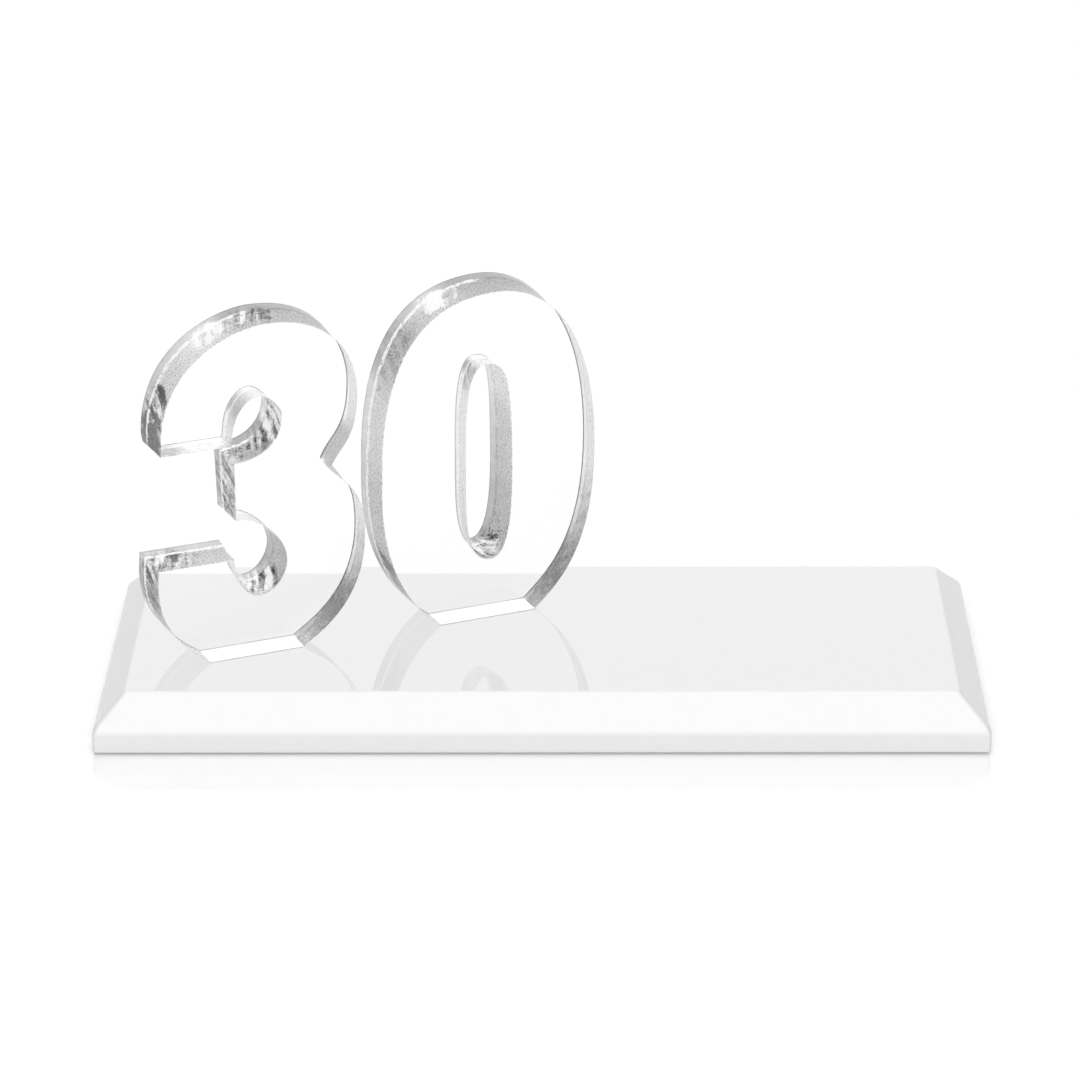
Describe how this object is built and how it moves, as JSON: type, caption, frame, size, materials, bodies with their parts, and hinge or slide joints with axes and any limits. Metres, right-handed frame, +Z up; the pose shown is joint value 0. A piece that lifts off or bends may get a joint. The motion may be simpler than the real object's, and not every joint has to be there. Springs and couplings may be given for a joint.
{
  "type": "table number sign",
  "caption": "Free-standing table number sign: thick clear acrylic numerals bonded upright, in a turned row, to a gloss white plinth with bevelled edges.",
  "frame": {"origin": "on the surface it stands on, under the middle of the plinth", "axes": "+X along the plinth to the right as the numerals are read, +Y to the back, +Z up"},
  "size_m": [0.25, 0.11, 0.1146],
  "materials": {
    "plinth_white": "gloss",
    "clear_acrylic": "polished",
    "clear_bond": "gloss",
    "soft_pad": "matte"
  },
  "bodies": {
    "root": {"plinth": "plinth_white", "numeral_3": "clear_acrylic", "numeral_0": "clear_acrylic", "bond_3": "clear_bond", "bond_0": "clear_bond", "pad_front_left": "soft_pad", "pad_front_right": "soft_pad", "pad_back_left": "soft_pad", "pad_back_right": "soft_pad"}
  },
  "joints": []
}
